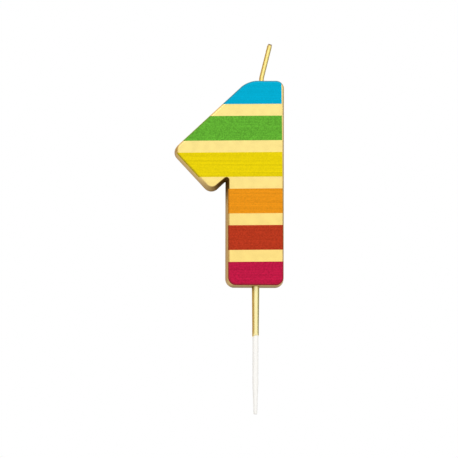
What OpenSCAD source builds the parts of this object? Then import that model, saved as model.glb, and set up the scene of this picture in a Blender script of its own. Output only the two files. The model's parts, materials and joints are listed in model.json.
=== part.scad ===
// Number candle: a wax numeral one with a gold coat and printed stripes, a wick and a plastic pick.
// Millimetres. +Z is up, +X is to the right seen from the printed face, which looks towards -Y.
// The origin is on the pick's axis where its gold end meets the white spike: the top of the cake.

/* [Numeral] */
// Height of the numeral at its back outline
numeral_h = 69.85; // [58:0.05:100]
// Width of the stem at its back outline
stem_w = 19.75; // [16:0.05:28]
// Distance of the stem's centre line from the pick, to the right
stem_x = -0.25; // [-1:0.05:1]
// Thickness from the gold face to the back
depth = 9; // [6:0.5:14]
// Width of the top, from the right side to the sharp corner of the slope
top_w = 12.4; // [9.5:0.1:15]

/* [Flag] */
// Slope of the flag above the horizontal, in degrees
flag_angle = 43; // [36:1:50]
// Width of the flag across its slope
flag_w = 19.9; // [15:0.1:24]
// Length of the flag's underside, from the notch to the tip
flag_out = 6.7; // [5:0.1:12]

/* [Edges] */
// Radius of the outer corners at the back outline
corner_r = 3; // [1.5:0.1:4]
// Radius where the top turns into the flag at the back outline
shoulder_r = 8.2; // [3:0.1:10]
// Radius in the notch under the flag at the back outline
notch_r = 0.1; // [0.1:0.1:1.5]
// How far the front outline lies inside the back one
draft = 0.4; // [0.1:0.05:0.8]
// Rounding of the front edge
front_round = 0.6; // [0.2:0.05:0.8]
// Rounding of the back edge
back_round = 0.3; // [0.1:0.05:0.8]

/* [Coat and stripes] */
// Thickness of the gold coat on the wax
coat_t = 0.3; // [0.1:0.05:0.6]
// Thickness of a printed stripe
print_t = 0.12; // [0.05:0.01:0.3]
// Height of the bare gold band between two stripes
band_h = 4; // [1:0.1:6]
// Bare gold between the tip of the flag and the stripe below it
tip_clear = 0.45; // [0.2:0.05:2]

/* [Wick] */
// Distance of the wick from the stem's centre line, to the right
wick_x = 2.1; // [0:0.1:4]
// Radius of the cotton wick
wick_r = 0.6; // [0.4:0.05:0.8]
// Thickness of the gold coat on the wick
wick_coat_t = 0.2; // [0.05:0.05:0.3]
// Length of the wick from where it bends to its cut end
wick_out = 12.1; // [6:0.1:20]
// Lean of the wick to the right of upright, in degrees
wick_lean = 14; // [-30:1:30]
// Wax left between the top of the pick and the foot of the wick
wick_foot = 4; // [1:0.5:10]

/* [Pick] */
// Length of the gold neck between the cake and the numeral
neck_len = 16.5; // [8:0.1:30]
// Radius of the pick's shank
shank_r = 1; // [0.9:0.01:1.3]
// Length of the shank inside the numeral
pick_embed = 20; // [10:0.5:30]
// Radius of the white spike
spike_r = 0.96; // [0.8:0.01:1]
// Length of the spike's straight part
spike_len = 16; // [8:0.5:30]
// Length of the taper that ends the spike
taper_len = 10.3; // [5:0.1:20]
// Radius of the spike's blunt end
tip_r = 0.6; // [0.3:0.05:0.8]
// Length over which the spike widens into the shank
flare_len = 1; // [0.8:0.1:3]
// Thickness of the gold coat on the neck at the numeral
neck_coat_t = 0.25; // [0.15:0.01:0.4]
// Thickness of the gold coat on the neck at its lower end
dip_coat_t = 0.2; // [0.15:0.01:0.4]

/* [Fits] */
// Clearance of the pick in its socket, on the radius
pick_fit = 0.05; // [0.02:0.01:0.1]
// Clearance of the wick in its bore, on the radius
wick_fit = 0.03; // [0.01:0.01:0.1]
// Clearance between faces that meet end to end
seat_gap = 0.05; // [0.02:0.01:0.2]

/* [Hidden] */

// Fineness of arcs: angle that one facet turns, and steps across a rounded edge
facet_angle = 9;
round_steps = 3;
$fn = 64;

// Rounding that an edge keeps when it is drawn in past its own radius
least_round = 0.1;

// Colours of the finished candle
wax_color = [0.96, 0.94, 0.86];
gold_color = [0.95, 0.84, 0.5];
cotton_color = [0.93, 0.9, 0.82];
plastic_color = [0.97, 0.97, 0.96];
blue = [0.01, 0.69, 0.83];
green = [0.38, 0.67, 0.2];
yellow = [0.92, 0.83, 0.06];
orange = [0.91, 0.58, 0.09];
red = [0.72, 0.22, 0.13];
magenta = [0.75, 0.11, 0.27];

// Heights of the numeral, the pick and the wick
base_z = neck_len;
top_z = base_z + numeral_h;
pick_top = base_z + pick_embed;
tip_z = -spike_len - taper_len;
wick_coat_r = wick_r + wick_coat_t;
wick_line_x = stem_x + wick_x;
wick_bend_z = top_z + wick_coat_r + seat_gap;

// Depth of the numeral, centred on the pick
front_y = -depth / 2;
back_y = depth / 2;

// Through cuts run past the faces that they open
overrun = numeral_h;

// Sharp corners of the back outline, counterclockwise from the lower left, with z measured from its base.
// The flag's underside lies parallel to the slope and meets the stem in the notch.
stem_left = stem_x - stem_w / 2;
stem_right = stem_x + stem_w / 2;
along_flag = [cos(flag_angle), sin(flag_angle)];
across_flag = [sin(flag_angle), -cos(flag_angle)];
foot_left = [stem_left, 0];
foot_right = [stem_right, 0];
top_right = [stem_right, numeral_h];
shoulder = [stem_right - top_w, numeral_h];
underside = shoulder + flag_w * across_flag;
notch = underside + (stem_left - underside.x) / along_flag.x * along_flag;
flag_tip = notch - flag_out * along_flag;
flag_end = flag_tip - flag_w * across_flag;
corners = [foot_left, foot_right, top_right, shoulder, flag_end, flag_tip, notch];

// Radius at each corner, negative where the outline turns inwards
corner_radii = [corner_r, corner_r, corner_r, shoulder_r, corner_r, corner_r, -notch_r];
corner_count = len(corners);

function corner_number(point) = [for (i = [0:corner_count - 1]) if (corners[i] == point) i][0];
function unit(v) = v / norm(v);
function left_of(v) = [-v.y, v.x];
function rotated(v, angle) = [v.x * cos(angle) - v.y * sin(angle), v.x * sin(angle) + v.y * cos(angle)];

// Inward normal of the side that leaves a corner
function side_normal(i) =
    left_of(unit(corners[(i + 1) % corner_count] - corners[i % corner_count]));

// Angle that the outline turns at a corner, positive to the left
function corner_turn(i) =
    let (before = side_normal(i + corner_count - 1), after = side_normal(i))
    atan2(before.x * after.y - before.y * after.x, before * after);

function arc_steps(i) = ceil(abs(corner_turn(i)) / facet_angle);

// Points around one corner of the outline, drawn in by inset: a rounding keeps its centre as it shrinks
function corner_arc(i, inset) =
    let (
        before = side_normal(i + corner_count - 1),
        after = side_normal(i),
        full = corner_radii[i],
        radius = full > 0 ? max(full - inset, least_round) : full - inset,
        centre = corners[i] + (inset + radius) * (before + after) / (1 + before * after)
    )
    [for (k = [0:arc_steps(i)]) centre - radius * rotated(before, corner_turn(i) * k / arc_steps(i))];

function outline(inset) = [for (i = [0:corner_count - 1]) each corner_arc(i, inset)];

// Place of a corner's first point in the outline's list
function arc_start(i) = i == 0 ? 0 : arc_start(i - 1) + arc_steps(i - 1) + 1;

outline_count = arc_start(corner_count);

// Three stripes lie above the flag's tip and three below it, and they share the height with bare bands
stripes_above = 3;
stripes_below = 3;
face_inset = draft + front_round;
tip_low = min([for (p = corner_arc(corner_number(flag_tip), face_inset)) p.y]);
lower_top = tip_low - tip_clear;
upper_pitch = (numeral_h - lower_top) / stripes_above;
lower_pitch = (lower_top + band_h) / stripes_below;

// Outlines from the face to the back, each an inset and a depth, for a surface cover inside the outer one
function skin_rings(cover) =
    let (front_r = max(front_round - cover, least_round), back_r = max(back_round - cover, least_round))
    concat(
        [for (k = [0:round_steps])
            let (a = 90 * k / round_steps)
            [draft + cover + front_r * (1 - sin(a)), front_y + cover + front_r * (1 - cos(a))]],
        [for (k = [round_steps:-1:0])
            let (a = 90 * k / round_steps)
            [cover + back_r * (1 - sin(a)), back_y - cover - back_r * (1 - cos(a))]]
    );

// Flat ends, cut from the shoulder to the notch so that each face is convex or a fan from one corner
function end_faces() =
    let (
        apex = arc_start(corner_number(foot_right)),
        split = arc_start(corner_number(flag_end)) - 1,
        notch_first = arc_start(corner_number(notch)),
        notch_last = outline_count - 1
    )
    concat(
        [concat([for (i = [apex:split]) i], [notch_last], [for (i = [0:apex - 1]) i])],
        [[for (i = [split + 1:notch_first]) i, split]],
        [for (i = [notch_first:notch_last - 1]) [split, i, i + 1]]
    );

function reversed(list) = [for (i = [len(list) - 1:-1:0]) list[i]];

// The numeral's solid, drawn in by cover on every side
module numeral_solid(cover) {
    rings = skin_rings(cover);
    last_ring = (len(rings) - 1) * outline_count;
    points = [for (ring = rings) each [for (p = outline(ring[0])) [p.x, ring[1], base_z + p.y]]];
    sides = [
        for (r = [0:len(rings) - 2], i = [0:outline_count - 1])
        let (next = (i + 1) % outline_count, near = r * outline_count, far = near + outline_count)
        [near + i, near + next, far + next, far + i]
    ];
    front = [for (face = end_faces()) reversed(face)];
    back = [for (face = end_faces()) [for (i = face) last_ring + i]];
    polyhedron(points, concat(front, sides, back));
}

// Hole for the pick, from below the numeral up to its seat
module pick_socket() {
    translate([0, 0, pick_top + seat_gap - overrun])
        cylinder(h = overrun, r = shank_r + pick_fit);
}

// Hole for the wick, from its foot up through the top
module wick_bore() {
    translate([wick_line_x, 0, pick_top + wick_foot])
        cylinder(h = overrun, r = wick_r + wick_fit);
}

// One printed stripe, counted from the top and cut to the flat face
module stripe(number) {
    upper = number < stripes_above;
    pitch = upper ? upper_pitch : lower_pitch;
    stripe_h = pitch - band_h;
    stripe_top = upper ? numeral_h - number * pitch : lower_top - (number - stripes_above) * pitch;
    translate([0, front_y, base_z])
        rotate([90, 0, 0])
            linear_extrude(print_t)
                intersection() {
                    polygon(outline(face_inset));
                    translate([-overrun, stripe_top - stripe_h])
                        square([2 * overrun, stripe_h]);
                }
}

// Half outline of the loose end of the wick, with a round foot that turns at the bend
function wick_profile(radius) =
    let (foot_steps = ceil(90 / facet_angle))
    concat(
        [for (k = [0:foot_steps])
            let (a = -90 + 90 * k / foot_steps)
            radius * [k == 0 ? 0 : cos(a), sin(a)]],
        [[radius, wick_out]]
    );

module at_wick_bend() {
    translate([wick_line_x, 0, wick_bend_z])
        rotate([0, wick_lean, 0])
            children();
}

module wax_numeral() {
    color(wax_color)
        difference() {
            numeral_solid(coat_t);
            pick_socket();
            wick_bore();
        }
}

module gold_coat() {
    color(gold_color)
        difference() {
            numeral_solid(0);
            numeral_solid(coat_t);
            pick_socket();
            wick_bore();
        }
}

module blue_stripe() { color(blue) stripe(0); }

module green_stripe() { color(green) stripe(1); }

module yellow_stripe() { color(yellow) stripe(2); }

module orange_stripe() { color(orange) stripe(3); }

module red_stripe() { color(red) stripe(4); }

module magenta_stripe() { color(magenta) stripe(5); }

// Cotton inside the wax, from its foot to the top of the numeral
module wick_core() {
    color(cotton_color)
        translate([wick_line_x, 0, pick_top + wick_foot])
            cylinder(h = top_z - pick_top - wick_foot, r = wick_r);
}

// Cotton that stands out of the numeral and bends at its foot
module wick_end() {
    color(cotton_color)
        at_wick_bend()
            rotate_extrude()
                polygon(concat(wick_profile(wick_r), [[0, wick_out]]));
}

module wick_gold_coat() {
    color(gold_color)
        at_wick_bend()
            rotate_extrude()
                polygon(concat(wick_profile(wick_coat_r), reversed(wick_profile(wick_r))));
}

// White plastic pick: blunt end, taper, straight spike, flare and shank
module pick() {
    edge = (spike_r - tip_r) / 2;
    color(plastic_color)
        rotate_extrude()
            polygon([
                [0, tip_z],
                [tip_r - edge, tip_z],
                [tip_r, tip_z + edge],
                [spike_r, -spike_len],
                [spike_r, 0],
                [shank_r, flare_len],
                [shank_r, pick_top - edge],
                [shank_r - edge, pick_top],
                [0, pick_top]
            ]);
}

// Gold on the neck of the pick, a little thicker at the numeral than at its lower end
module pick_gold_coat() {
    coat_top = base_z - seat_gap;
    color(gold_color)
        rotate_extrude()
            polygon([
                [spike_r, 0],
                [spike_r + dip_coat_t, 0],
                [shank_r + neck_coat_t, coat_top],
                [shank_r, coat_top],
                [shank_r, flare_len]
            ]);
}

wax_numeral();
gold_coat();
blue_stripe();
green_stripe();
yellow_stripe();
orange_stripe();
red_stripe();
magenta_stripe();
wick_core();
wick_end();
wick_gold_coat();
pick();
pick_gold_coat();
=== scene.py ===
# %% [markdown]
# # A striped number candle
#
# The candle is a flat numeral one, cast in wax and coated in gold. Six stripes are printed across its face,
# a wick leans out of the top, and a white plastic pick with a gold neck stands it in a cake.
# The CAD model holds the sizes and the joints. This lesson gives it the looks, one piece at a time:
# shell, print, wick, pick, finishes and studio.

# %% Load the frame
import json
import math
from collections import namedtuple

import bmesh
import bpy
from mathutils import Matrix, Quaternion, Vector


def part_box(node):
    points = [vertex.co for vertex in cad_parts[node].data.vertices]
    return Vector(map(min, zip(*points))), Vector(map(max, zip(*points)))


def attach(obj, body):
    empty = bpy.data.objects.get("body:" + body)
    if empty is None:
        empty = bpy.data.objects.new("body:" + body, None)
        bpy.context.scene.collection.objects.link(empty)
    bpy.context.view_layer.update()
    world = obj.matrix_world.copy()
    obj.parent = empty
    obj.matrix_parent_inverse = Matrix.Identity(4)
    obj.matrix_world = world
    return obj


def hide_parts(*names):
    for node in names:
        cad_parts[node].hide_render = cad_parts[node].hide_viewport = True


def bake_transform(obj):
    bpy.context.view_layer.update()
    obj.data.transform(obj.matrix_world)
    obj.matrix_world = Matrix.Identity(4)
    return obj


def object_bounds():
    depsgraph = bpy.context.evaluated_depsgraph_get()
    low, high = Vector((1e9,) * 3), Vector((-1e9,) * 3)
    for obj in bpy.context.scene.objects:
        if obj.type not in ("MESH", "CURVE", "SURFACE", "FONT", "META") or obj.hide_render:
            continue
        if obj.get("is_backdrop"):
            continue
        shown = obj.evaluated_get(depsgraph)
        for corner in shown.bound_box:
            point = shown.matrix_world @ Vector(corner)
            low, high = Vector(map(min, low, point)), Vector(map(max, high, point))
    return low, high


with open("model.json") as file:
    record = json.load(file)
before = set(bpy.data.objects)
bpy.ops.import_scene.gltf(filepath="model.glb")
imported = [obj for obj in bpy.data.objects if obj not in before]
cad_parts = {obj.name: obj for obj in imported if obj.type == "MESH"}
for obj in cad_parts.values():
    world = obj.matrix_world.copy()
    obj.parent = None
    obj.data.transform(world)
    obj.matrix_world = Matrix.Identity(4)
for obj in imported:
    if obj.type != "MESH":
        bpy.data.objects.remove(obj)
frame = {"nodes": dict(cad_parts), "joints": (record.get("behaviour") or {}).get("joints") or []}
cad_low, cad_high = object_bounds()
print("CAD nodes:", ", ".join(sorted(frame["nodes"])))

# %% [markdown]
# ## Modelling by hand, in code
#
# Every piece starts as a primitive and is shaped with the operators that a modeller would use.
# An operator acts on whatever is selected, so the helpers below deselect everything first and then select
# vertices by their place, as a box select does. The sizes are in millimetres, and Blender counts in metres.

# %% Helpers for selecting and editing
MM = 0.001
TOUCH = 0.001 * MM


def only(piece):
    """Make one object the active and only selected one."""
    bpy.ops.object.select_all(action="DESELECT")
    piece.select_set(True)
    bpy.context.view_layer.objects.active = piece


def edit(piece):
    only(piece)
    bpy.ops.object.mode_set(mode="EDIT")


def done():
    bpy.ops.object.mode_set(mode="OBJECT")


def start(name, add_primitive, **how):
    """Add a primitive, put its place into its mesh and open it in edit mode with all of it selected."""
    bpy.ops.object.select_all(action="DESELECT")
    add_primitive(**how)
    bpy.ops.object.transform_apply()
    piece = bpy.context.active_object
    piece.name = name
    piece.data.name = name
    bpy.ops.object.mode_set(mode="EDIT")
    bpy.ops.mesh.select_all(action="SELECT")
    return piece


def copy_of(piece, name):
    only(piece)
    bpy.ops.object.duplicate()
    copy = bpy.context.active_object
    copy.name = name
    copy.data.name = name
    return copy


def select_where(piece, test):
    """Select the vertices whose place passes the test, and the edges and faces between them."""
    bpy.ops.mesh.select_mode(type="VERT")
    bpy.ops.mesh.select_all(action="DESELECT")
    mesh = bmesh.from_edit_mesh(piece.data)
    for vert in mesh.verts:
        vert.select = test(vert.co)
    mesh.select_flush_mode()
    bmesh.update_edit_mesh(piece.data)


def modify(piece, kind, **settings):
    """Add a modifier, set it and apply it."""
    only(piece)
    modifier = piece.modifiers.new(kind, kind)
    for setting, value in settings.items():
        setattr(modifier, setting, value)
    bpy.ops.object.modifier_apply(modifier=modifier.name)


def smooth(piece, angle):
    """Smooth the edges up to an angle, and keep large flat faces flat with weighted normals."""
    only(piece)
    bpy.ops.object.shade_smooth_by_angle(angle=angle)
    modify(piece, "WEIGHTED_NORMAL", keep_sharp=True)


def report(piece):
    corners = [vert.co for vert in piece.data.vertices]
    size = [(max(c[axis] for c in corners) - min(c[axis] for c in corners)) / MM for axis in range(3)]
    print(f"{piece.name}: {len(piece.data.polygons)} faces, {size[0]:.2f} x {size[1]:.2f} x {size[2]:.2f} mm")


print("helpers ready, all sizes in units of", MM, "m")

# %% [markdown]
# ## The numeral's outline
#
# The real numeral is poured into a mould, so its outline is a few straight runs with rounded corners.
# It could be traced as a curve. Here it is drawn as by hand: one vertex is extruded from corner to corner,
# the loop is filled, and each corner is rounded with a vertex bevel. The overall box comes from the frame.

# %% Draw the outline
coat_low, coat_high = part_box("gold_coat")
BASE_Z = coat_low.z
TOP_Z = coat_high.z
FRONT_Y = coat_low.y
BACK_Y = coat_high.y
STEM_RIGHT = coat_high.x
STEM_W = 19.7 * MM
TOP_W = 12.4 * MM
FLAG_W = 19.9 * MM
FLAG_OUT = 6.7 * MM
FLAG_ANGLE = math.radians(43)
CORNER_R = 3 * MM
SHOULDER_R = 8.2 * MM
NOTCH_R = 0.1 * MM
ARC_STEPS = 20

along_flag = Vector((math.cos(FLAG_ANGLE), 0, math.sin(FLAG_ANGLE)))
across_flag = Vector((math.sin(FLAG_ANGLE), 0, -math.cos(FLAG_ANGLE)))
foot_right = Vector((STEM_RIGHT, BACK_Y, BASE_Z))
foot_left = foot_right - Vector((STEM_W, 0, 0))
top_right = Vector((STEM_RIGHT, BACK_Y, TOP_Z))
shoulder = top_right - Vector((TOP_W, 0, 0))
underside = shoulder + FLAG_W * across_flag
notch = underside + (foot_left.x - underside.x) / along_flag.x * along_flag
flag_tip = notch - FLAG_OUT * along_flag
flag_end = flag_tip - FLAG_W * across_flag
outline = [foot_left, foot_right, top_right, shoulder, flag_end, flag_tip, notch]
radii = [CORNER_R, CORNER_R, CORNER_R, SHOULDER_R, CORNER_R, CORNER_R, NOTCH_R]


def at(*points):
    return lambda place: any((place - point).length < TOUCH for point in points)


shell = start("gold_shell", bpy.ops.mesh.primitive_plane_add, size=CORNER_R, location=foot_left)
bpy.ops.mesh.merge(type="CENTER")
for here, there in zip(outline, outline[1:]):
    bpy.ops.mesh.extrude_vertices_move(TRANSFORM_OT_translate={"value": there - here})
select_where(shell, at(foot_left, notch))
bpy.ops.mesh.edge_face_add()
bpy.ops.mesh.select_all(action="SELECT")
bpy.ops.mesh.edge_face_add()
bpy.ops.mesh.flip_normals()

for number, (corner, radius) in enumerate(zip(outline, radii)):
    before = corner - outline[number - 1]
    after = outline[(number + 1) % len(outline)] - corner
    tangent = radius * math.tan(before.angle(after) / 2)
    select_where(shell, at(corner))
    bpy.ops.mesh.bevel(
        affect="VERTICES", offset_type="OFFSET", offset=tangent, segments=ARC_STEPS, clamp_overlap=False
    )
done()
report(shell)

# %% [markdown]
# ## Depth and edges
#
# A casting has draft: its face is a little smaller than its back, so that it leaves the mould. An inset with
# a depth makes the sloping wall in one step, and the copy of the outline that stays behind closes the back.
# The walls of a hand-cut mould don't all slope alike, so each corner of the face is then moved until the
# sides that meet there have their own draft. The corner in the notch moves by less, so that no wax comes
# through. Two edge bevels round the rims.

# %% Give the shell its depth
DRAFT = 0.4 * MM
FRONT_ROUND = 0.8 * MM
BACK_ROUND = 0.3 * MM
ROUND_STEPS = 6
SIDES = ["foot", "right", "top", "slope", "flag end", "underside", "left"]
MORE_DRAFT = {"slope": -0.2 * MM, "underside": 0.25 * MM, "left": 0.2 * MM}
NOTCH_MOVE = 0.17 * MM


def inward(number):
    """Inward normal, in x and z, of the side that leaves a corner."""
    way = (outline[(number + 1) % len(outline)] - outline[number]).normalized()
    return -way.z, way.x


def nearest_corner(place):
    return min(range(len(outline)), key=lambda number: (outline[number] - place).xz.length)


edit(shell)
bpy.ops.mesh.select_all(action="SELECT")
bpy.ops.mesh.duplicate()
bpy.ops.mesh.inset(thickness=DRAFT, depth=BACK_Y - FRONT_Y, use_even_offset=True)
bpy.ops.mesh.select_all(action="SELECT")
bpy.ops.mesh.remove_doubles(threshold=TOUCH)
bpy.ops.mesh.normals_make_consistent(inside=False)

for number, corner in enumerate(outline):
    around = Matrix((inward(number - 1), inward(number)))
    more = Vector((MORE_DRAFT.get(SIDES[number - 1], 0), MORE_DRAFT.get(SIDES[number], 0)))
    move = around.inverted() @ more
    if corner == notch:
        move = move.normalized() * NOTCH_MOVE
    select_where(shell, lambda place: place.y < FRONT_Y + TOUCH and nearest_corner(place) == number)
    bpy.ops.transform.translate(value=(move.x, 0, move.y))
select_where(shell, lambda place: place.y < FRONT_Y + TOUCH)
bpy.ops.mesh.bevel(offset_type="OFFSET", offset=FRONT_ROUND, segments=ROUND_STEPS, clamp_overlap=False)
select_where(shell, lambda place: place.y > BACK_Y - TOUCH)
bpy.ops.mesh.bevel(offset_type="OFFSET", offset=BACK_ROUND, segments=ROUND_STEPS, clamp_overlap=False)
done()
report(shell)

# %% [markdown]
# ## The printed stripes
#
# The stripes are ink on the face, and the ink runs a little way over the rounded edge. Painting them into the
# gold's material would be quicker, but each stripe is a piece of its own, so each is cut from a copy of the
# face: two bisects trim it to its height, and a solidify gives the film its thickness. The whole print sits a
# little askew, so the cuts are tilted, and a strip of gold stays bare beside the upper stripes on the right.
# A bisect moves its cut to vertices that lie near it. A fine threshold keeps the cuts straight.

# %% Cut the stripes from copies of the face
COLOURS = ["blue", "green", "yellow", "orange", "red", "magenta"]
FILM_T = 0.05 * MM
INK_WRAP = math.radians(66)
PRINT_SKEW = math.radians(0.7)
PRINT_MARGIN = 0.39 * MM
FACE_SMOOTH = math.radians(30)

level = Vector((-math.sin(PRINT_SKEW), 0, math.cos(PRINT_SKEW)))
rightward = Vector((math.cos(PRINT_SKEW), 0, math.sin(PRINT_SKEW)))
margin = foot_right - Vector((PRINT_MARGIN, 0, 0))
skin_back = FRONT_Y + FRONT_ROUND * (1 - math.cos(INK_WRAP)) + TOUCH


def trim(place, way, cleared):
    """Cut the mesh in hand at a plane and clear one side of it: outer, where way points, or inner."""
    bpy.ops.mesh.select_all(action="SELECT")
    bpy.ops.mesh.bisect(plane_co=place, plane_no=way, threshold=TOUCH, **{f"clear_{cleared}": True})


skin = copy_of(shell, "face_skin")
edit(skin)
select_where(skin, lambda place: place.y > skin_back)
bpy.ops.mesh.delete(type="VERT")
trim(margin, rightward, "outer")
done()

stripes = {}
for colour in COLOURS:
    node = f"{colour}_stripe"
    stripe_low, stripe_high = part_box(node)
    stripe = copy_of(skin, f"{colour}_print")
    edit(stripe)
    if colour != COLOURS[-1]:
        trim((0, 0, stripe_low.z), level, "inner")
    if colour != COLOURS[0]:
        trim((0, 0, stripe_high.z), level, "outer")
    done()
    modify(stripe, "SOLIDIFY", thickness=FILM_T, offset=1, use_even_offset=True)
    smooth(stripe, FACE_SMOOTH)
    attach(stripe, "numeral")
    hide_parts(node)
    stripes[colour] = stripe
    report(stripe)
bpy.data.objects.remove(skin)

# %% [markdown]
# ## Holes for the pick and the wick
#
# The coat is a thin skin around the wax, open where the pick goes in and where the wick comes out. A cylinder
# is cut from the shell at each place, the bottom of each cut is deleted, and a solidify turns the surface
# into a skin of its own thickness.

# %% Drill the shell and make it a skin
core_low, core_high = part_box("wick_core")
pick_low, pick_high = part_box("pick")
WICK_X = (core_low.x + core_high.x) / 2
WICK_FIT = 0.03 * MM
PICK_FIT = 0.05 * MM
COAT_T = 0.25 * MM
DRILL_DEPTH = 1 * MM
DRILL_SIDES = 48

edit(shell)
drills = [
    ((0, 0, BASE_Z), pick_high.x + PICK_FIT),
    ((WICK_X, 0, TOP_Z), core_high.x - WICK_X + WICK_FIT),
]
for place, radius in drills:
    bpy.ops.mesh.select_all(action="DESELECT")
    bpy.ops.mesh.primitive_cylinder_add(
        vertices=DRILL_SIDES, radius=radius, depth=2 * DRILL_DEPTH, location=place
    )
    bpy.ops.mesh.intersect_boolean(operation="DIFFERENCE", solver="EXACT")
select_where(
    shell,
    lambda place: any(
        abs(abs(place.z - centre[2]) - DRILL_DEPTH) < TOUCH
        and math.hypot(place.x - centre[0], place.y) < radius + TOUCH
        for centre, radius in drills
    ),
)
bpy.ops.mesh.delete(type="VERT")
done()
modify(shell, "SOLIDIFY", thickness=COAT_T, offset=-1, use_even_offset=True)
smooth(shell, FACE_SMOOTH)
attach(shell, "numeral")
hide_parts("gold_coat")
report(shell)

# %% [markdown]
# ## The wick
#
# The wick is three cotton strands twisted together, dipped in the same gold where it stands out of the wax.
# A screw modifier sweeps three circles up a helix, which gives the whole string at once, and its cut end is
# spread a little. The gold over it is a fatter copy, remeshed into one surface so that the paint fills the
# grooves.

# %% Twist the strands
bend = Vector(next(joint["pos_m"] for joint in frame["joints"] if joint["name"] == "wick_bend"))
WICK_OUT = 11.8 * MM
COTTON_SHOWS = 0.4 * MM
FRAY = 1.2
WICK_R = core_high.x - WICK_X
WICK_COAT_T = 0.2 * MM
STRANDS = 3
COTTON_TWIST = 0.22 * MM
PAINT_TWIST = 0.02 * MM
STRAND_SIDES = 14
TURN_STEPS = 20
LAY = 4.8 * MM

string_low = core_low.z
string_high = bend.z + WICK_OUT
turns = round((string_high - string_low) / LAY)


def twisted_string(name, radius, twist):
    """Three strands up a helix around the wick's line, each off it by twist, closed at both ends."""
    circle = dict(vertices=STRAND_SIDES, radius=radius - twist)
    spots = [math.tau * number / STRANDS for number in range(STRANDS)]
    places = [Vector((math.cos(spot), math.sin(spot), 0)) * twist for spot in spots]
    string = start(name, bpy.ops.mesh.primitive_circle_add, location=places[0], **circle)
    for place in places[1:]:
        bpy.ops.mesh.primitive_circle_add(location=place, **circle)
    done()
    modify(
        string, "SCREW", axis="Z", screw_offset=(string_high - string_low) / turns, iterations=turns,
        steps=TURN_STEPS, render_steps=TURN_STEPS, use_merge_vertices=False
    )
    edit(string)
    bpy.ops.mesh.select_all(action="SELECT")
    bpy.ops.mesh.fill_holes(sides=STRAND_SIDES)
    bpy.ops.mesh.normals_make_consistent(inside=False)
    bpy.ops.transform.translate(value=(WICK_X, 0, string_low))
    return string


cotton = twisted_string("wick_cotton", WICK_R, COTTON_TWIST)
select_where(cotton, lambda place: place.z > string_high - COTTON_SHOWS)
bpy.ops.transform.resize(value=(FRAY, FRAY, 1), center_override=(WICK_X, 0, string_high))
done()
report(cotton)

# %% [markdown]
# The gold starts just inside the wax and ends a little below the cut end, where the three cotton tips show.
# These two cuts keep the bisect's own threshold, because with a fine one the remeshed paint isn't closed.

# %% Coat the wick
GOLD_INSIDE = 1.2 * MM
REMESH = 0.06 * MM
PAINT_SMOOTH_SHARE = 0.5
PAINT_SMOOTH_STEPS = 14

gold_ends = {"clear_inner": TOP_Z - GOLD_INSIDE, "clear_outer": string_high - COTTON_SHOWS}
wick_gold = twisted_string("wick_gold", WICK_R + WICK_COAT_T, PAINT_TWIST)
for cleared, height in gold_ends.items():
    bpy.ops.mesh.select_all(action="SELECT")
    bpy.ops.mesh.bisect(plane_co=(0, 0, height), plane_no=(0, 0, 1), use_fill=True, **{cleared: True})
done()
modify(wick_gold, "REMESH", mode="VOXEL", voxel_size=REMESH)
modify(wick_gold, "SMOOTH", factor=PAINT_SMOOTH_SHARE, iterations=PAINT_SMOOTH_STEPS)
report(wick_gold)

# %% [markdown]
# Both are still upright. The real wick leans from its foot in a short soft curve, so the part above the foot
# is turned a little at a time, each turn about a point further up the bent line. With no window open the
# rotate operator turns the other way, so its angle has the opposite sign.

# %% Lean the wick
LEAN = math.radians(14)
BEND_LEN = 1.4 * MM
BEND_STEPS = 7
ROD_SMOOTH = math.radians(50)


def lean(string):
    """Turn what lies above the foot in equal small steps."""
    edit(string)
    mesh = bmesh.from_edit_mesh(string.data)
    heights = [vert.co.z for vert in mesh.verts]
    step_len = BEND_LEN / BEND_STEPS
    foot_z = bend.z - BEND_LEN / 2
    pivot = bend - Vector((0, 0, BEND_LEN / 2))
    for step in range(BEND_STEPS):
        bpy.ops.mesh.select_all(action="DESELECT")
        mesh = bmesh.from_edit_mesh(string.data)
        for vert, height in zip(mesh.verts, heights):
            vert.select = height > foot_z + step * step_len
        mesh.select_flush_mode()
        bmesh.update_edit_mesh(string.data)
        bpy.ops.transform.rotate(value=-LEAN / BEND_STEPS, orient_axis="Y", center_override=pivot)
        angle = LEAN * (step + 1) / BEND_STEPS
        pivot = pivot + Vector((math.sin(angle), 0, math.cos(angle))) * step_len
    done()


for string, nodes, slot in (
    (cotton, ("wick_core", "wick_end"), "cotton"),
    (wick_gold, ("wick_gold_coat",), "gold"),
):
    lean(string)
    only(string)
    bpy.ops.object.shade_smooth_by_angle(angle=ROD_SMOOTH)
    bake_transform(string)
    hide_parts(*nodes)
    report(string)

# %% [markdown]
# ## The pick
#
# The pick is one moulding in white plastic: a blunt end, a taper, a straight spike and a shank that sits in
# the wax. It could be a lathe profile, but extruding a disc upwards and scaling it at each height is quicker
# to read. Moulded picks have a fine ridge where the two halves of the mould met, so two opposite lines are
# pushed out.

# %% Extrude the pick
TIP_R = 0.6 * MM
SPIKE_R = 0.96 * MM
SHANK_R = pick_high.x
SPIKE_LEN = 16 * MM
FLARE_LEN = 1 * MM
END_ROUND = 0.18 * MM
END_STEPS = 4
PICK_SIDES = 48
RIDGE = 0.02 * MM


def rounded_end(radius, height, way):
    """Radius and height at each step of a quarter round, from the flat end outwards."""
    angles = [math.pi / 2 * step / END_STEPS for step in range(END_STEPS + 1)]
    return [
        (radius - END_ROUND * (1 - math.sin(angle)), height + way * END_ROUND * (1 - math.cos(angle)))
        for angle in angles
    ]


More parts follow.
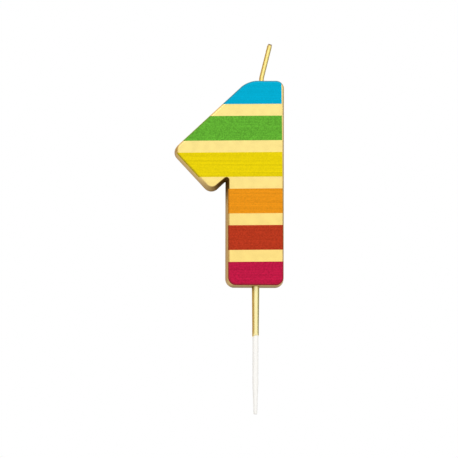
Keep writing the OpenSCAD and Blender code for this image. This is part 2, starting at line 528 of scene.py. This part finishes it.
def extrude_through(stations):
    """Extrude the selected ring from station to station, scaling it to each radius."""
    for (radius, height), (next_radius, next_height) in zip(stations, stations[1:]):
        bpy.ops.mesh.extrude_region_move(TRANSFORM_OT_translate={"value": (0, 0, next_height - height)})
        share = next_radius / radius
        bpy.ops.transform.resize(value=(share, share, 1), center_override=(0, 0, next_height))


pick_stations = [
    *rounded_end(TIP_R, pick_low.z, 1),
    (SPIKE_R, -SPIKE_LEN),
    (SPIKE_R, 0),
    (SHANK_R, FLARE_LEN),
    *reversed(rounded_end(SHANK_R, pick_high.z, -1)),
]
first_radius, first_height = pick_stations[0]
pick = start(
    "pick_body", bpy.ops.mesh.primitive_circle_add, vertices=PICK_SIDES, radius=first_radius,
    fill_type="NGON", location=(0, 0, first_height)
)
extrude_through(pick_stations)
bpy.ops.mesh.select_all(action="SELECT")
bpy.ops.mesh.normals_make_consistent(inside=False)
select_where(pick, lambda place: abs(place.y) < TOUCH and abs(place.x) > TIP_R - TOUCH)
bpy.ops.transform.resize(value=(1 + RIDGE / SPIKE_R, 1, 1), center_override=(0, 0, 0))
done()
smooth(pick, FACE_SMOOTH)
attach(pick, "pick")
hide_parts("pick")
report(pick)

# %% [markdown]
# ## The gold neck
#
# The neck was dipped together with the candle, so the gold ends in an uneven line with a drip where the paint
# ran down. A tube is extruded upwards, starting with a small bead at its lower rim. That rim is pulled down
# where the paint ran, the upper rim is raised to the sloping foot of the numeral, and a solidify makes the
# tube a film that sits on the plastic.

# %% Dip the neck
neck_low, neck_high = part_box("pick_gold_coat")
NECK_R = neck_high.x
DIP_R = 1.12 * MM
DIP_UP = 0.2 * MM
DIP_FILM = 0.2 * MM
BEAD = 0.08 * MM
RUN_SIDE = math.radians(195)
RUN_LEN = 0.4 * MM
RUN_W = 0.25
WAVE_LEN = 0.12 * MM
WAVES = 3
RUN_ZONE = 3 * MM
NECK_GAP = 0.03 * MM

dip_z = neck_low.z + DIP_UP
neck_stations = [
    (DIP_R - BEAD, dip_z),
    (DIP_R - BEAD / 3, dip_z + BEAD / 2),
    (DIP_R, dip_z + 2 * BEAD),
    (DIP_R, dip_z + RUN_ZONE / 2),
    (DIP_R, dip_z + RUN_ZONE),
    (NECK_R, neck_high.z),
]
neck = start(
    "neck_gold", bpy.ops.mesh.primitive_circle_add, vertices=PICK_SIDES, radius=neck_stations[0][0],
    location=(0, 0, dip_z)
)
extrude_through(neck_stations)
bpy.ops.mesh.select_all(action="SELECT")
bpy.ops.mesh.normals_make_consistent(inside=False)
mesh = bmesh.from_edit_mesh(neck.data)
for vert in mesh.verts:
    turn = math.atan2(vert.co.y, vert.co.x) - RUN_SIDE
    run = math.exp(-((1 - math.cos(turn)) / RUN_W) ** 2)
    drop = RUN_LEN * run + WAVE_LEN * math.sin(WAVES * turn)
    vert.co.z -= drop * max(0, 1 - (vert.co.z - dip_z) / RUN_ZONE)
    if vert.co.z > neck_high.z - TOUCH:
        vert.co.z = BASE_Z + DRAFT * (BACK_Y - vert.co.y) / (BACK_Y - FRONT_Y) - NECK_GAP
bmesh.update_edit_mesh(neck.data)
done()
modify(neck, "SOLIDIFY", thickness=DIP_FILM, offset=-1, use_even_offset=True)
smooth(neck, ROD_SMOOTH)
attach(neck, "pick")
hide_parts("pick_gold_coat")
report(neck)

# %% [markdown]
# ## Writing shaders as sums
#
# A material is a network of nodes. The class below wraps one socket of it, so that sums in Python add the
# Math nodes, and one method adds any other node. What varies over a surface feeds only sockets that can be
# baked into pictures: colour, metal, roughness, the colour of a glow, and the normal.

# %% A small shader language
SHADER = "Principled BSDF"
EVEN = (1, 1, 1)
SOFT = 2
FINE = 3


class Shade:
    """A socket of a node tree. Operators on it add Math nodes."""

    def __init__(self, tree, socket=None):
        self.tree = tree
        self.socket = socket

    def node(self, kind, settings=None, inputs=None, output=None):
        """Add a node, set it up, fill its sockets by name and return one output."""
        made = self.tree.nodes.new(kind)
        for setting, value in (settings or {}).items():
            setattr(made, setting, value)
        for name, value in (inputs or {}).items():
            self.feed(next(s for s in made.inputs if s.enabled and name in (s.name, s.identifier)), value)
        outputs = [s for s in made.outputs if s.enabled and output in (None, s.name)]
        return Shade(self.tree, outputs[0])

    def feed(self, socket, value):
        """Link a shade to a socket, or set the socket to a plain value."""
        if isinstance(value, Shade):
            self.tree.links.new(value.socket, socket)
        else:
            socket.default_value = value

    def surface(self, **sockets):
        """Feed sockets of the material's shader, whose names have _ for a space."""
        shader = self.tree.nodes[SHADER]
        for name, value in sockets.items():
            self.feed(shader.inputs[name.replace("_", " ")], value)

    def math(self, operation, first, second):
        return self.node("ShaderNodeMath", {"operation": operation}, {"Value": first, "Value_001": second})

    def __add__(self, other):
        return self.math("ADD", self, other)

    def __sub__(self, other):
        return self.math("SUBTRACT", self, other)

    def __rsub__(self, other):
        return self.math("SUBTRACT", other, self)

    def __mul__(self, other):
        return self.math("MULTIPLY", self, other)

    __radd__ = __add__
    __rmul__ = __mul__

    def vectors(self, operation, first, second):
        places = {"Vector": first, "Vector_001": second}
        return self.node("ShaderNodeVectorMath", {"operation": operation}, places)

    def along(self, axis, place):
        """How far a place lies along an axis."""
        return self.node("ShaderNodeSeparateXYZ", None, {"Vector": place}, axis)

    def noise(self, size, place, detail=SOFT, stretch=EVEN):
        """Noise from 0 to 1 with SOFT or FINE detail. Its patches are about size across, times stretch."""
        scale = [1 / (size * share) for share in stretch]
        vector = self.vectors("MULTIPLY", place, scale)
        return self.node("ShaderNodeTexNoise", None, {"Vector": vector, "Scale": 1, "Detail": detail}, "Fac")

    def ramp(self, value, low, high, start=0, end=1):
        """Smooth step from start to end as value goes from low to high."""
        return self.node(
            "ShaderNodeMapRange", {"interpolation_type": "SMOOTHSTEP"},
            {"Value": value, "From Min": low, "From Max": high, "To Min": start, "To Max": end}
        )

    def mix(self, share, first, second):
        return self.node("ShaderNodeMix", {"data_type": "RGBA"}, {"Factor": share, "A": first, "B": second})

    def scaled(self, colour, amount):
        """A colour made lighter or darker by a number."""
        return self.node("ShaderNodeVectorMath", {"operation": "SCALE"}, {"Vector": colour, "Scale": amount})

    def bump(self, height, strength, depth):
        """The normal of a surface whose bumps of height 1 are depth tall."""
        sockets = {"Height": height, "Strength": strength, "Distance": depth}
        return self.node("ShaderNodeBump", None, sockets)


def srgb(red, green, blue):
    """A colour as a screen shows it, from 0 to 255, as linear light. The numbers are the sRGB standard's."""
    shares = [channel / 255 for channel in (red, green, blue)]
    return [s / 12.92 if s <= 0.04045 else ((s + 0.055) / 1.055) ** 2.4 for s in shares] + [1]


def plain_finish(name, **constants):
    """A new material with constants set on the sockets of its shader."""
    material = bpy.data.materials.new(name)
    material.use_nodes = True
    Shade(material.node_tree).surface(**constants)
    return material


def finish_named(name, **constants):
    """A plain finish, a shade that adds nodes to it, and the place on the piece."""
    material = plain_finish(name, **constants)
    shade = Shade(material.node_tree)
    return material, shade, shade.node("ShaderNodeTexCoord", output="Object")


def dress(piece, material):
    piece.data.materials.clear()
    piece.data.materials.append(material)


print("shader helpers ready")

# %% [markdown]
# ## Gold on the numeral
#
# The gold is a metallic lacquer. On the face it is smooth and mirrors the bright studio, so it looks pale.
# On the walls it went on over the mould's rougher sides, so it is browner and duller. Shade is painted
# into the walls as a dull dark brown gold in the notch under the flag, and as a darkening along the foot,
# where little light reaches. A picture could be wrapped around the numeral, but the place on the piece is
# enough: the y of the object coordinates is the depth, which tells the face from the wall.

# %% Gold lacquer
FACE_GOLD = srgb(238, 217, 137)
FOOT_GOLD = srgb(243, 214, 127)
WALL_GOLD = srgb(234, 204, 138)
REAR_GOLD = srgb(206, 176, 132)
NOTCH_SHADE_GOLD = srgb(106, 72, 22)
LACQUER_GLANCE = srgb(222, 208, 178)
LACQUER_GLOSS = 0.1
WALL_FROM = 0.1 * FRONT_ROUND
WALL_METAL = 0.85
FOOT_SHADE_TONE = 0.55
FOOT_SHADE_H = 1 * MM
NOTCH_SHADE_SHAPE = Vector((0.95, 0, 1))
NOTCH_SHADE_NEAR = 2 * MM
NOTCH_SHADE_FAR = 9.5 * MM
NOTCH_SHADE_ROUGHER = 0.32
BLOTCH = 2.5 * MM
LACQUER_GRAIN = 0.3 * MM
LACQUER_TONE = 0.835
BLOTCH_TONE = 0.15
LACQUER_GRAIN_TONE = 0.19
FACE_ROUGH = 0.28
WALL_ROUGHER = 0.15
BLOTCH_ROUGHER = 0.08
LACQUER_BUMP = 0.2
BLOTCH_RISE = 2
PAINT_DEPTH = 0.02 * MM


def gold_lacquer():
    material, shade, place = finish_named(
        "gold_lacquer", Specular_Tint=LACQUER_GLANCE, Specular_IOR_Level=LACQUER_GLOSS
    )
    depth = shade.along("Y", place)
    height = shade.along("Z", place)
    front = shade.ramp(depth, FRONT_Y, FRONT_Y + WALL_FROM)
    back = shade.ramp(depth, BACK_Y - BACK_ROUND, BACK_Y)
    wall = front * (1 - back)
    blotch = shade.noise(BLOTCH, place, FINE)
    grain = shade.noise(LACQUER_GRAIN, place)
    face = shade.mix(shade.ramp(height, BASE_Z, TOP_Z), FOOT_GOLD, FACE_GOLD)
    # Painted shade in the notch under the flag: a dull dark brown gold that fades with the distance from the
    # notch.
    away = shade.vectors("DISTANCE", shade.vectors("MULTIPLY", place, NOTCH_SHADE_SHAPE), notch * NOTCH_SHADE_SHAPE)
    notch_shade = wall * shade.ramp(away, NOTCH_SHADE_NEAR, NOTCH_SHADE_FAR, 1, 0)
    side = shade.mix(shade.ramp(depth, FRONT_Y, BACK_Y), WALL_GOLD, REAR_GOLD)
    side = shade.mix(notch_shade, side, NOTCH_SHADE_GOLD)
    # Painted shade along the foot: the walls darken over their lowest millimetre, the underside included.
    foot_shade = wall * shade.ramp(height, BASE_Z, BASE_Z + FOOT_SHADE_H, 1 - FOOT_SHADE_TONE, 0)
    tone = (LACQUER_TONE + BLOTCH_TONE * blotch + LACQUER_GRAIN_TONE * grain) * (1 - foot_shade)
    shade.surface(
        Base_Color=shade.scaled(shade.mix(wall, face, side), tone),
        Metallic=1 - (1 - WALL_METAL) * wall,
        Roughness=FACE_ROUGH + WALL_ROUGHER * wall + NOTCH_SHADE_ROUGHER * notch_shade + BLOTCH_ROUGHER * blotch,
        Normal=shade.bump(grain + BLOTCH_RISE * blotch, LACQUER_BUMP, PAINT_DEPTH),
    )
    return material


dress(shell, gold_lacquer())
print("gold lacquer on", shell.name)

# %% [markdown]
# ## Gold on the neck and the wick
#
# The same gold ran down these thin rods when the candle was dipped, so its noise is drawn out along them. It
# is smooth on the plastic neck and duller on the cotton. Close below the numeral's foot a shadow falls on the
# neck's left, so a shadow is painted into its gold there, by height and by side.

# %% Dipped gold
NECK_GOLD = srgb(254, 241, 178)
WICK_GOLD = srgb(238, 219, 138)
DIPPED_GLANCE = srgb(200, 160, 90)
NECK_ROUGH = 0.2
WICK_ROUGH = 0.4
STREAM_W = 0.25 * MM
STREAM_STRETCH = (1, 1, 12)
STREAM_TONE = 0.05
STREAM_ROUGHER = 0.12
DIPPED_GRAIN = 0.1 * MM
DIPPED_GRAIN_TONE = 0.03
DIPPED_TONE = 0.96
DIPPED_BUMP = 0.1
SHADOW = 0.6
SHADOW_LEN = 2.2 * MM
LIT_FROM = 0.3 * NECK_R


def dipped_gold(name, colour, least_roughness, shadow_len):
    """Gold that ran down a thin rod, with a shadow of that length on the left below the numeral's foot."""
    material, shade, place = finish_named(name, Metallic=1, Specular_Tint=DIPPED_GLANCE)
    streams = shade.noise(STREAM_W, place, SOFT, STREAM_STRETCH)
    grain = shade.noise(DIPPED_GRAIN, place)
    tone = DIPPED_TONE + STREAM_TONE * streams + DIPPED_GRAIN_TONE * grain
    if shadow_len:
        # Painted shadow on the neck's left, just below the numeral's foot.
        left = shade.ramp(shade.along("X", place), -NECK_R, LIT_FROM, 1, 0)
        below_foot = shade.ramp(shade.along("Z", place), BASE_Z - shadow_len, BASE_Z)
        tone = tone * (1 - SHADOW * left * below_foot)
    shade.surface(
        Base_Color=shade.scaled(colour[:3], tone),
        Roughness=least_roughness + STREAM_ROUGHER * streams,
        Normal=shade.bump(streams + grain, DIPPED_BUMP, PAINT_DEPTH),
    )
    return material


dress(wick_gold, dipped_gold("wick_paint", WICK_GOLD, WICK_ROUGH, 0))
dress(neck, dipped_gold("neck_paint", NECK_GOLD, NECK_ROUGH, SHADOW_LEN))
print("dipped gold on", wick_gold.name, neck.name)

# %% [markdown]
# ## Printing inks
#
# The inks are thin and satin, and the gold shows through them as a soft metallic depth. Under a lens they
# have a fine grain and faint level streaks from the printing roller. Over the rounded edge the ink thins out,
# so some gold shows through, and shade is painted there: the ink and that gold are darkened, as the edge
# turns from the light. Each ink has its own colour, strength of grain and of streaks, painted shade at the
# rim and share of darkened gold at the rim.

# %% Ink finishes
Ink = namedtuple("Ink", "colour grain streak rim_tone rim_gold")
INKS = {
    "blue": Ink(srgb(1, 172, 209), 0.32, 0.22, 0.68, 0.06),
    "green": Ink(srgb(97, 172, 51), 1.35, 0.36, 0.84, 0.2),
    "yellow": Ink(srgb(232, 209, 10), 0.45, 0.5, 0.84, 0.2),
    "orange": Ink(srgb(235, 149, 26), 0.55, 0.4, 0.84, 0.2),
    "red": Ink(srgb(184, 57, 31), 1.0, 0.5, 0.84, 0.15),
    "magenta": Ink(srgb(194, 27, 70), 1.05, 0.65, 0.84, 0.12),
}
INK_METAL = 0.12
INK_GLOSS = 0.02
INK_GRAIN = 0.4 * MM
STREAK_W = 0.4 * MM
STREAK_STRETCH = (150, 1, 1)
NOISE_MIDDLE = 0.5
THIN_INK_SHADED_GOLD = srgb(150, 120, 80)
RIM_DEPTH = 0.12 * FRONT_ROUND
INK_ROUGH = 0.45
INK_GRAIN_ROUGHER = 0.15
INK_BUMP = 0.15


def printing_ink(name, ink):
    material, shade, place = finish_named(f"{name}_ink", Metallic=INK_METAL, Specular_IOR_Level=INK_GLOSS)
    grain = shade.noise(INK_GRAIN, place, FINE)
    streak = shade.noise(STREAK_W, place, SOFT, STREAK_STRETCH)
    tone = 1 + ink.grain * (grain - NOISE_MIDDLE) + ink.streak * (streak - NOISE_MIDDLE)
    # Painted shade over the rounded edge: the ink mixes with a dark gold and darkens there.
    rim = shade.ramp(shade.along("Y", place), FRONT_Y - FILM_T, FRONT_Y + RIM_DEPTH)
    thinned_and_shaded = shade.mix(ink.rim_gold * rim, ink.colour, THIN_INK_SHADED_GOLD)
    shade.surface(
        Base_Color=shade.scaled(thinned_and_shaded, tone * (1 - (1 - ink.rim_tone) * rim)),
        Roughness=INK_ROUGH + INK_GRAIN_ROUGHER * grain,
        Normal=shade.bump(grain + streak, INK_BUMP, PAINT_DEPTH),
    )
    return material


for colour, stripe in stripes.items():
    dress(stripe, printing_ink(colour, INKS[colour]))
print("inks:", ", ".join(stripes))

# %% [markdown]
# ## Cotton
#
# The cotton shows only at the cut end of the wick. It is matt and brownish, with fibres that run along it.

# %% Cotton fibre
COTTON_BROWN = srgb(112, 82, 40)
COTTON_PALE = srgb(206, 178, 124)
COTTON_ROUGH = 0.9
FIBRE_W = 0.05 * MM
FIBRE_STRETCH = (1, 1, 6)
FIBRE_BUMP = 0.6
FIBRE_DEPTH = 0.03 * MM


def cotton_fibre():
    material, shade, place = finish_named("cotton_fibre", Roughness=COTTON_ROUGH)
    fibre = shade.noise(FIBRE_W, place, FINE, FIBRE_STRETCH)
    shade.surface(
        Base_Color=shade.mix(fibre, COTTON_BROWN, COTTON_PALE),
        Normal=shade.bump(fibre, FIBRE_BUMP, FIBRE_DEPTH),
    )
    return material


dress(cotton, cotton_fibre())
print("fibres on", cotton.name)

# %% [markdown]
# ## Wax
#
# The wax shows only inside the socket when the numeral is lifted off its pick, so its CAD node stays as it is
# and gets a cloudy cream finish that lets a little light in.

# %% Candle wax
WAX_DEEP = srgb(240, 232, 205)
WAX_PALE = srgb(250, 245, 226)
WAX_CLOUD = 3 * MM
WAX_LETS_IN = 0.2
WAX_ROUGH = 0.4
WAX_ROUGHER = 0.2


def candle_wax():
    material, shade, place = finish_named("candle_wax", Subsurface_Weight=WAX_LETS_IN)
    cloud = shade.noise(WAX_CLOUD, place, FINE)
    shade.surface(
        Base_Color=shade.mix(cloud, WAX_DEEP, WAX_PALE),
        Roughness=WAX_ROUGH + WAX_ROUGHER * cloud,
    )
    return material


dress(frame["nodes"]["wax_numeral"], candle_wax())
print("wax on the CAD node")

# %% [markdown]
# ## Plastic
#
# The pick is white plastic, seen below the dip line. It is thin and lets some of the studio's light through.
# Light that scatters inside the plastic would make a noisy picture, so a faint glow in its own colour stands
# in for it.

# %% White plastic
PLASTIC_DULL = srgb(247, 245, 241)
PLASTIC_WHITE = srgb(250, 249, 246)
PLASTIC_CLOUD = 4 * MM
PLASTIC_GLOSS = 0.4
PLASTIC_GLOW = 0.14
PLASTIC_ROUGH = 0.3
PLASTIC_ROUGHER = 0.12


def white_plastic():
    material, shade, place = finish_named(
        "white_plastic", Specular_IOR_Level=PLASTIC_GLOSS, Emission_Strength=PLASTIC_GLOW
    )
    cloud = shade.noise(PLASTIC_CLOUD, place)
    white = shade.mix(cloud, PLASTIC_DULL, PLASTIC_WHITE)
    shade.surface(
        Base_Color=white,
        Emission_Color=white,
        Roughness=PLASTIC_ROUGH + PLASTIC_ROUGHER * cloud,
    )
    return material


dress(pick, white_plastic())
print("plastic on", pick.name)

# %% [markdown]
# ## The studio
#
# The picture has a pure white ground. The world is white wherever the camera or a reflection sees it, and
# weaker as a light, so that the colours keep their own level.

# %% World
WHITE = (1, 1, 1, 1)
WORLD_LEVEL = 0.63


def white_where_seen(shade):
    """1 for a camera ray, a reflection or a view through glass, and 0 for light that falls on the object."""
    rays = ("Camera", "Glossy", "Transmission")
    camera, glossy, glass = (shade.node("ShaderNodeLightPath", output=f"Is {ray} Ray") for ray in rays)
    return shade.math("MINIMUM", camera + glossy + glass, 1)


world = bpy.data.worlds.new("studio")
bpy.context.scene.world = world
world.use_nodes = True
sky = world.node_tree.nodes["Background"]
shade = Shade(world.node_tree)
shade.feed(sky.inputs["Color"], WHITE)
shade.feed(sky.inputs["Strength"], WORLD_LEVEL + (1 - WORLD_LEVEL) * white_where_seen(shade))
print("the world lights the candle at", WORLD_LEVEL)

# %% [markdown]
# The floor is pale paper. It keeps a soft shadow, throws little light back up and fades to the white ground
# further away, so that no horizon shows. It is clear from below, because the camera stands lower than the
# floor and looks up.

# %% Floor
FLOOR_SIZE = 6
SHADOW_SHARE = 0.5
FADE_NEAR = 0.15
FADE_FAR = 0.6
PALE = srgb(238, 238, 238)
DIM = srgb(165, 163, 160)

floor = start("floor", bpy.ops.mesh.primitive_plane_add, size=FLOOR_SIZE, location=(0, 0, pick_low.z))
done()
paper, shade, place = finish_named("floor_paper")
seen = white_where_seen(shade)
matt = shade.node("ShaderNodeBsdfDiffuse", None, {"Color": shade.mix(seen, DIM, PALE)})
white = shade.node("ShaderNodeEmission", None, {"Color": WHITE, "Strength": 1})
clear = shade.node("ShaderNodeBsdfTransparent")
below = shade.node("ShaderNodeNewGeometry", output="Backfacing")
away = shade.node("ShaderNodeVectorMath", {"operation": "LENGTH"}, {"Vector": place})
glow = seen * shade.ramp(away, FADE_NEAR, FADE_FAR, 1 - SHADOW_SHARE, 1)
lit = shade.node("ShaderNodeMixShader", None, {"Fac": glow, "Shader": matt, "Shader_001": white})
both = shade.node("ShaderNodeMixShader", None, {"Fac": below, "Shader": lit, "Shader_001": clear})
shade.feed(paper.node_tree.nodes["Material Output"].inputs["Surface"], both)
paper.node_tree.nodes.remove(paper.node_tree.nodes[SHADER])
dress(floor, paper)
floor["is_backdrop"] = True
print("floor at", round(pick_low.z / MM, 2), "mm")

# %% [markdown]
# The lamps are large soft boxes: a key in front and above, and a fill on the left. A round gold rod shows its
# shape only if it has something darker to mirror, so a warm card stands on the left and a grey one further
# back on the right. Only reflections see the cards.

# %% Lamps and cards
LOOK_AT = Vector((-9.0, 0, 36.11)) * MM
Lamp = namedtuple("Lamp", "place size power")
LAMPS = {
    "key_box": Lamp(Vector((0.15, -0.85, 0.85)), 0.8, 8.8),
    "fill_box": Lamp(Vector((-0.8, -0.3, 0.1)), 0.8, 0.95),
}
CARD_HIGH = 0.5
CARD_AWAY = 0.25
BLACK = (0, 0, 0, 1)
Card = namedtuple("Card", "across near far tone")
CARDS = {
    "left_card": Card(-CARD_AWAY, -0.29, 0.5, srgb(181, 151, 90)),
    "right_card": Card(CARD_AWAY, -0.09, 0.6, srgb(154, 154, 130)),
}


def aim(place, target):
    return (target - place).to_track_quat("-Z", "Y")


for name, lamp in LAMPS.items():
    bpy.ops.object.light_add(type="AREA", location=lamp.place, rotation=aim(lamp.place, LOOK_AT).to_euler())
    made = bpy.context.active_object
    made.name = name
    made.data.size = lamp.size
    made.data.energy = lamp.power

for name, card in CARDS.items():
    middle = (card.near + card.far) / 2
    board = start(
        name, bpy.ops.mesh.primitive_plane_add, size=CARD_HIGH, location=(card.across, middle, LOOK_AT.z),
        rotation=(0, math.pi / 2, 0)
    )
    bpy.ops.transform.resize(
        value=(1, (card.far - card.near) / CARD_HIGH, 1), center_override=(0, middle, 0)
    )
    done()
    board.visible_camera = False
    board.visible_diffuse = False
    board.visible_shadow = False
    dress(board, plain_finish(
        name, Base_Color=BLACK, Specular_IOR_Level=0, Emission_Color=card.tone, Emission_Strength=1
    ))
    board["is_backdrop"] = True
print("lamps:", ", ".join(LAMPS), "cards:", ", ".join(CARDS))

# %% [markdown]
# ## The camera
#
# The photograph was taken from far away with a long lens: the walls show by the same amount at the top and at
# the bottom. The camera looks at the middle of the picture, from a little to the left and a little below, and
# the candle leans in the picture by a tenth of a degree, which is the camera's roll.

# %% Place the camera
FRAME_W = 154.3 * MM
DISTANCE = 2.4
AZIMUTH = math.radians(-2.5)
ELEVATION = math.radians(-3.9)
ROLL = math.radians(0.12)

back = Vector((
    math.sin(AZIMUTH) * math.cos(ELEVATION),
    -math.cos(AZIMUTH) * math.cos(ELEVATION),
    math.sin(ELEVATION),
))
place = LOOK_AT + back * DISTANCE
turned = aim(place, LOOK_AT) @ Quaternion((0, 0, 1), ROLL)
bpy.ops.object.camera_add(location=place, rotation=turned.to_euler())
camera = bpy.context.active_object
camera.data.lens = camera.data.sensor_width * DISTANCE / FRAME_W
bpy.context.scene.camera = camera
bpy.context.scene.view_settings.view_transform = "Standard"
print(f"camera with a {camera.data.lens:.0f} mm lens, {DISTANCE} m away")

# %% [markdown]
# ## Sizes
#
# Both boxes, of the CAD model and of the looks, are printed. The looks may not grow past the CAD model.

# %% Write the sizes and finish
low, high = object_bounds()
for name, box in (("CAD", cad_high - cad_low), ("visual", high - low)):
    print(name, "box", [round(v / MM, 2) for v in box], "mm")
